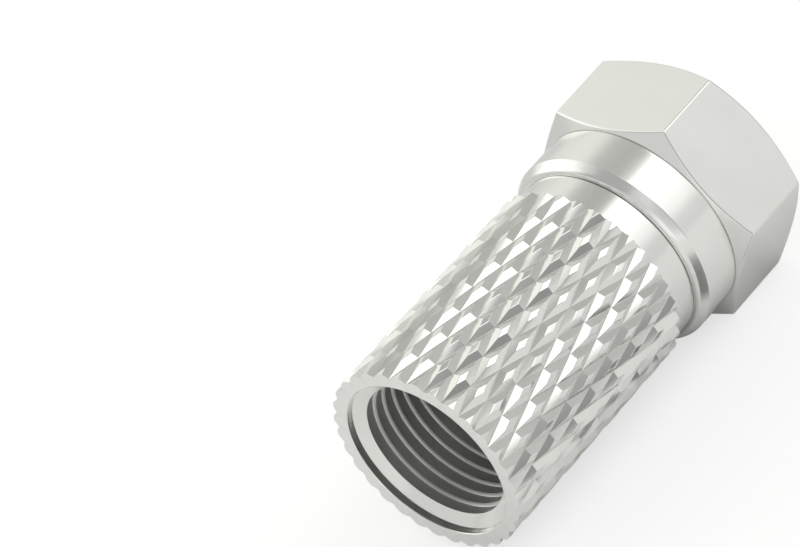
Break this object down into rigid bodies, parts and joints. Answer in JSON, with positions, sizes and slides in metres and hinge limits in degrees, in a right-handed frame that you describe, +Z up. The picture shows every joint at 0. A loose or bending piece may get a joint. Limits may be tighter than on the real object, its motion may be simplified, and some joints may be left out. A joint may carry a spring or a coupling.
{
  "type": "f connector",
  "caption": "Twist-on F connector for coaxial cable: knurled sleeve with a threaded jacket socket and a free-turning hexagonal coupling nut.",
  "frame": {"origin": "on the connector's axis in the plane of the contact face, the flat front end of the inner tube", "axes": "+X along the axis from the cable mouth to the nut's open end, +Z up from a flat of the hexagon nut that the part lies on, +Y towards a corner of the hexagon"},
  "size_m": [0.022, 0.0128, 0.011],
  "materials": {
    "sleeve_plating": "bright nickel plate over brass",
    "nut_plating": "bright nickel plate over brass"
  },
  "bodies": {
    "sleeve": {"sleeve": "sleeve_plating"},
    "nut": {"nut": "nut_plating"}
  },
  "joints": [
    {"name": "swivel", "type": "hinge", "parent": "nut", "child": "sleeve", "pos_m": [0, 0, 0], "axis": [1, 0, 0], "continuous": true}
  ]
}
